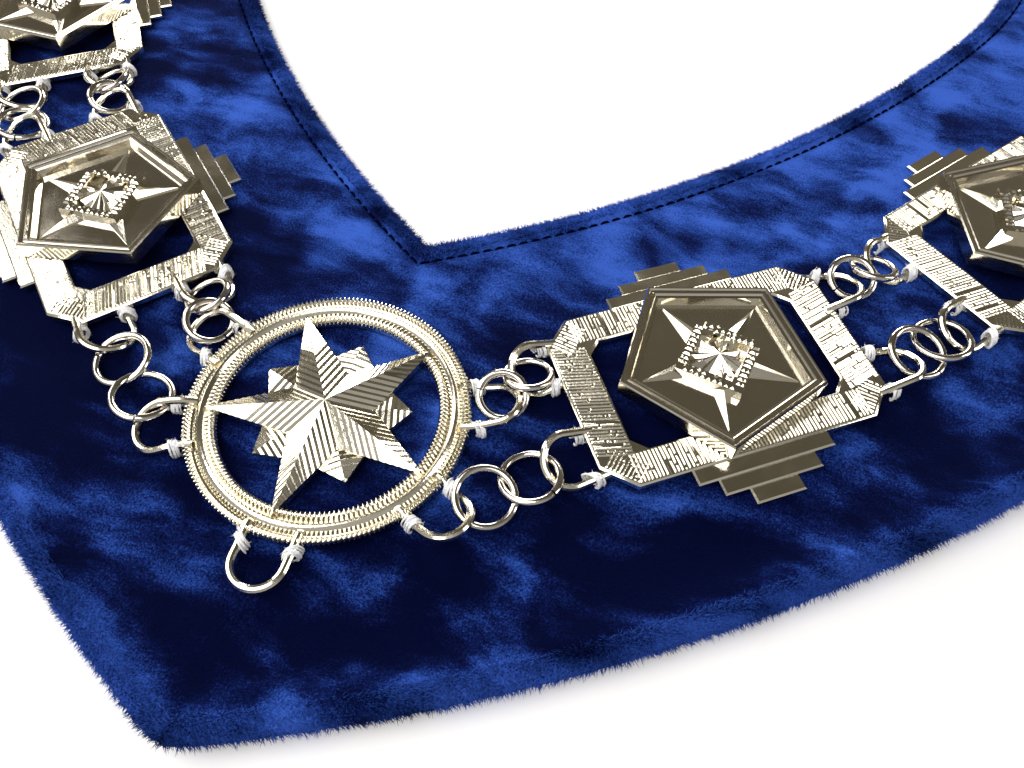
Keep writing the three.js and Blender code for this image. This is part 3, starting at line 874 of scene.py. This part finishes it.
def makeRun(name, span, kind):
    size = ringKinds[kind]
    radius = size["radius"]
    clear = radius + wire["loopRadius"] + ringFit["wires"] - span / 2
    even = min(max(span * ringFit["step"], clear), ringFit["lock"] * radius)
    half = max(even, span / 2 - ringFit["furthest"])
    lift = max(0.0, size["tilt"] * math.sqrt(radius ** 2 - half ** 2) - ringFit["contact"] / 2)
    bag = newBag()
    height = wire["loopHeight"] + size["rise"]
    addRing(bag, (-half, 0, height + lift), radius, size["pitch"], size["tilt"], dice.uniform(1.2, 5.0))
    addRing(bag, (half, 0, height - lift), radius, -size["pitch"], -size["tilt"], dice.uniform(-1.9, 1.9))
    return makeMesh(name, bag, ringWirePlate, 40)


medallionPose = (medallion["x"], medallion["y"], 0.0, 1)
addPiece("medallion", makeMedallion(), medallionPose[:3], ["star_medallion"])
plaqueMeshes = {1: makePlaque(1), -1: makePlaque(-1)}
emblemMesh = makeEmblem()
napePose = plaquePose("right", chain["perSide"] + 1)
plaquePoses = {"nape": napePose}
for side in ("right", "left"):
    for number in range(1, chain["perSide"] + 1):
        plaquePoses[f"{side}_{number}"] = plaquePose(side, number)
for name, pose in plaquePoses.items():
    addPiece("plaqueFrame_" + name, plaqueMeshes[pose[3]], pose[:3], ["plaque_" + name])
    addPiece("emblemTray_" + name, emblemMesh, pose[:3], ["emblem_" + name])
print("medallion and plaques made")


def placeRun(name, kind, start, end):
    span = end - start
    middle = (start + end) / 2
    label, pose = f"ringRun_{name}_{kind}", (middle.x, middle.y, headingOf(span))
    mesh = makeRun(label, span.length, kind)
    addPiece(label, mesh, pose, [f"links_{name}_{kind}"])


for side in ("right", "left"):
    for kind in ("inner", "outer"):
        row = side + kind.capitalize()
        start = inLayout(medallionPose, medallionLoopSpot(row))
        for number in range(1, chain["perSide"] + 1):
            pose = plaquePose(side, number)
            placeRun(f"{side}_{number}", kind, start, plaqueLoop(pose, -1, kind))
            start = plaqueLoop(pose, 1, kind)
        placeRun(side + "_nape", kind, start, plaqueLoop(napePose, -1 if side == "right" else 1, kind))
print("ring runs made")

# cotton thread wound round the feet of every loop and into the velvet
thread = {"strands": 8, "radius": 0.17, "spread": 1.5, "foot": 2.6, "steps": 12, "sides": 5, "wisps": 5}


def addWisp(bag, root):  # a loose fibre standing off the thread
    way = Vector((dice.uniform(-1, 1), dice.uniform(-1, 1), dice.uniform(-0.2, 0.8))) * dice.uniform(0.4, 1.0)
    foot = [root + 0.06 * Vector(polar(1.0, turn)) for turn in (0.0, 2.1, 4.2)]
    addMesh(bag, foot + [root + way], [(0, 2, 1), (0, 1, 3), (1, 2, 3), (2, 0, 3)])


def addWrap(bag, spot, heading):
    ahead = Vector((math.cos(heading), math.sin(heading), 0))
    aside = Vector((-math.sin(heading), math.cos(heading), 0))
    slant = dice.choice((-1, 1)) * dice.uniform(0.2, 0.9)
    for k in range(thread["strands"]):
        shift = ahead * (thread["spread"] * (k / (thread["strands"] - 1) - 0.5) + dice.uniform(-0.12, 0.12))
        wide, slope = dice.uniform(0.85, 1.2), slant + dice.uniform(-0.3, 0.3)
        low, high = dice.uniform(2.9, 3.3), wire["loopHeight"] + dice.uniform(0.75, 1.0)
        path = []
        for t in [2 * math.pi * i / thread["steps"] for i in range(thread["steps"])]:
            height = (low + high) / 2 + (high - low) / 2 * math.sin(t)
            flare = wide * (1.25 - 0.25 * math.sin(t))
            point = Vector((spot.x, spot.y, 0)) + shift
            point = point + aside * (flare * math.cos(t)) + ahead * (slope * math.cos(t))
            path.append(Vector((point.x, point.y + layoutShift, height)))
        addTube(bag, path, thread["radius"] * dice.uniform(0.8, 1.15), thread["sides"], True)
        for root in dice.sample(path, thread["wisps"]):
            addWisp(bag, root)


def addLoopWraps(bag, pose, spot, angle, reach):
    for side in (1, -1):
        back = reach - thread["foot"] + 1.4
        x = spot[0] - back * math.cos(angle) - side * wire["loopRadius"] * math.sin(angle)
        y = spot[1] - back * math.sin(angle) + side * wire["loopRadius"] * math.cos(angle)
        addWrap(bag, inLayout(pose, (x, y)), pose[2] + angle)


def makeThreadWraps():
    bag = newBag()
    for row, degrees in medallion["loops"].items():
        addLoopWraps(bag, medallionPose, medallionLoopSpot(row), math.radians(degrees), wire["outerReach"])
    for pose in plaquePoses.values():
        for row in (1, -1):
            towardNeck = row == pose[3]
            reach = wire["innerReach"] if towardNeck else wire["outerReach"]
            for end in (1, -1):
                spot = plaqueLoopSpot(end, row, towardNeck)
                addLoopWraps(bag, pose, spot, 0 if end > 0 else math.pi, reach)
    return makeMesh("threadWraps", bag, cottonThread, 60)


addPiece("threadWraps", makeThreadWraps())
print("thread wraps made")

# pile that stands out along the velvet's two edges
# lift is painted sheen that lightens the tone of the pile on both edges
pile = {"length": (0.5, 1.6), "base": 0.1, "lift": 0.2}


def makeEdgePile(name, across, halves, perMm, seed):
    chance = np.random.default_rng(seed)
    outward = 1.0 if across > 0 else -1.0
    low = axisAngle(across)
    frontBend, napeBend = frontRadius - across, napeRadius - across
    frontPart = frontBend * (napeAngle - low)
    edgeLength = frontPart + napeBend * (math.pi - napeAngle)
    count = int(edgeLength * len(halves) * perMm)
    walked = chance.random(count) * edgeLength
    onFront = walked < frontPart
    heading = np.where(onFront, low + walked / frontBend, napeAngle + (walked - frontPart) / napeBend)
    mirror = chance.choice(halves, count)
    turn = chance.random(count) ** 0.8 * math.pi * 0.62 - 0.25  # from the side of the edge round to its top
    edge, top = band["edgeRadius"], topHeight(across)
    spot = across + outward * (-edge + edge * np.cos(turn) - 0.15)
    height = top / 2 + top / 2 * np.sin(turn) - 0.1
    radius = np.where(onFront, frontRadius, napeRadius) - spot
    centreX = np.where(onFront, frontCentre[0], napeCentre[0])
    centreY = np.where(onFront, frontCentre[1], napeCentre[1])
    x = mirror * (centreX + radius * np.sin(heading))
    y = centreY - radius * np.cos(heading) + layoutShift
    if across < 0:
        height = height + edgeCurl(heading, mirror)
        y = y + np.where(onFront, tipTuck(x), 0.0)
    ahead = np.stack([mirror * np.cos(heading), np.sin(heading), np.zeros(count)], 1)
    neck = np.stack([-mirror * np.sin(heading), np.cos(heading), np.zeros(count)], 1)
    lay = np.stack([x, y], 1) * 0.05
    sway = np.sin(lay[:, 0] * 2.3 + 1.7 * np.sin(lay[:, 1] * 1.9)) * 0.7 + chance.normal(0, 0.45, count)
    up = np.array([0, 0, 1.0])
    way = neck * (outward * np.cos(turn))[:, None] + up * np.sin(turn)[:, None] * 0.8 + ahead * sway[:, None]
    way += chance.normal(0, 0.22, (count, 3))
    way /= np.linalg.norm(way, axis=1)[:, None]
    length = chance.uniform(*pile["length"], count)
    root = np.stack([x, y, height], 1)
    first = np.cross(way, up + 0.01)
    first /= np.linalg.norm(first, axis=1)[:, None]
    second = np.cross(way, first)
    corners = [root + pile["base"] * (math.cos(a) * first + math.sin(a) * second) for a in (0.0, 2.1, 4.2)]
    tips = root + way * length[:, None]
    points = np.stack([*corners, tips], 1).reshape(-1, 3) * mm
    start = np.arange(count)[:, None] * 4
    sides = ((0, 2, 1), (0, 1, 3), (1, 2, 3), (2, 0, 3))
    faces = np.concatenate([start + np.array(side) for side in sides], 1).reshape(-1, 3)
    mesh = bpy.data.meshes.new(name)
    mesh.vertices.add(len(points))
    mesh.vertices.foreach_set("co", points.ravel())
    mesh.loops.add(faces.size)
    mesh.loops.foreach_set("vertex_index", faces.ravel())
    mesh.polygons.add(len(faces))
    mesh.polygons.foreach_set("loop_start", np.arange(0, faces.size, 3))
    mesh.update(calc_edges=True)
    mesh.materials.append(crushedVelvet)
    setBrushLift(mesh, np.full(len(points), pile["lift"]))
    return mesh


addPiece("neckEdgePile", makeEdgePile("neckEdgePile", halfBand, (1.0, -1.0), 52, 11))
addPiece("outerEdgePileRight", makeEdgePile("outerEdgePileRight", -halfBand, (1.0,), 66, 12))
addPiece("outerEdgePileLeft", makeEdgePile("outerEdgePileLeft", -halfBand, (-1.0,), 66, 13))
print("edge pile made")

# floor, light and surroundings
studio = {
    "floorHalf": 2.5, "floorColour": (0.92, 0.92, 0.93), "aim": (0.0, -0.1, 0.0), "sideWatts": 3.0,
    "keyWatts": 15.5, "fillWatts": 10.0, "warm": (1.0, 0.97, 0.92),
}


def addFloor():
    half = studio["floorHalf"]
    mesh = bpy.data.meshes.new("floor")
    corners = [(-half, -half, 0), (half, -half, 0), (half, half, 0), (-half, half, 0)]
    mesh.from_pydata(corners, [], [(0, 1, 2, 3)])
    material, nodes, links, shader = newMaterial("paleFloor")
    shader.inputs["Base Color"].default_value = (*studio["floorColour"], 1)
    shader.inputs["Roughness"].default_value = 0.7
    mesh.materials.append(material)
    floor = bpy.data.objects.new("floor", mesh)
    bpy.context.scene.collection.objects.link(floor)


def addSoftbox(name, place, aim, size, watts, colour):
    data = bpy.data.lights.new(name, "AREA")
    data.shape, data.size, data.size_y = "RECTANGLE", size[0], size[1]
    data.energy, data.color = watts, colour
    light = bpy.data.objects.new(name, data)
    bpy.context.scene.collection.objects.link(light)
    way = Vector(aim) - Vector(place)
    light.matrix_world = Matrix.Translation(place) @ way.to_track_quat("-Z", "Y").to_matrix().to_4x4()


def addWorld():
    world = bpy.data.worlds.new("studio")
    bpy.context.scene.world = world
    world.use_nodes = True
    nodes, links = world.node_tree.nodes, world.node_tree.links
    way = nodes.new("ShaderNodeTexCoord")
    parts = nodes.new("ShaderNodeSeparateXYZ")
    links.new(way.outputs["Generated"], parts.inputs[0])
    tone = addNode(nodes, "ShaderNodeValToRGB")
    setRamp(tone, [(0.25, (0.75, 0.73, 0.69)), (0.50, (0.30, 0.28, 0.25)),
                   (0.66, (0.12, 0.105, 0.075)), (1.0, (0.27, 0.24, 0.18))])
    half = addRange(nodes, -1.0, 1.0)
    links.new(parts.outputs["Y"], half.inputs["Value"])
    links.new(half.outputs["Result"], tone.inputs["Fac"])
    links.new(tone.outputs["Color"], nodes["Background"].inputs["Color"])
    nodes["Background"].inputs["Strength"].default_value = 0.55


addFloor()
addWorld()
aim, warm, sideWatts = studio["aim"], studio["warm"], studio["sideWatts"]
addSoftbox("overheadSoftbox", (-0.40, -0.45, 0.95), (0.0, -0.15, 0.0), (1.3, 1.1),
           studio["keyWatts"], (1.0, 0.98, 0.95))
addSoftbox("leftStrip", (-0.95, 0.15, 0.45), aim, (0.3, 0.9), 1.2 * sideWatts, warm)
addSoftbox("rightStrip", (0.95, 0.05, 0.40), aim, (0.25, 0.9), sideWatts, warm)
addSoftbox("backFill", (-0.25, 1.0, 0.45), aim, (0.7, 0.35), studio["fillWatts"], (1.0, 0.97, 0.93))
bpy.context.scene.view_settings.view_transform = "Standard"

print("scene ready")
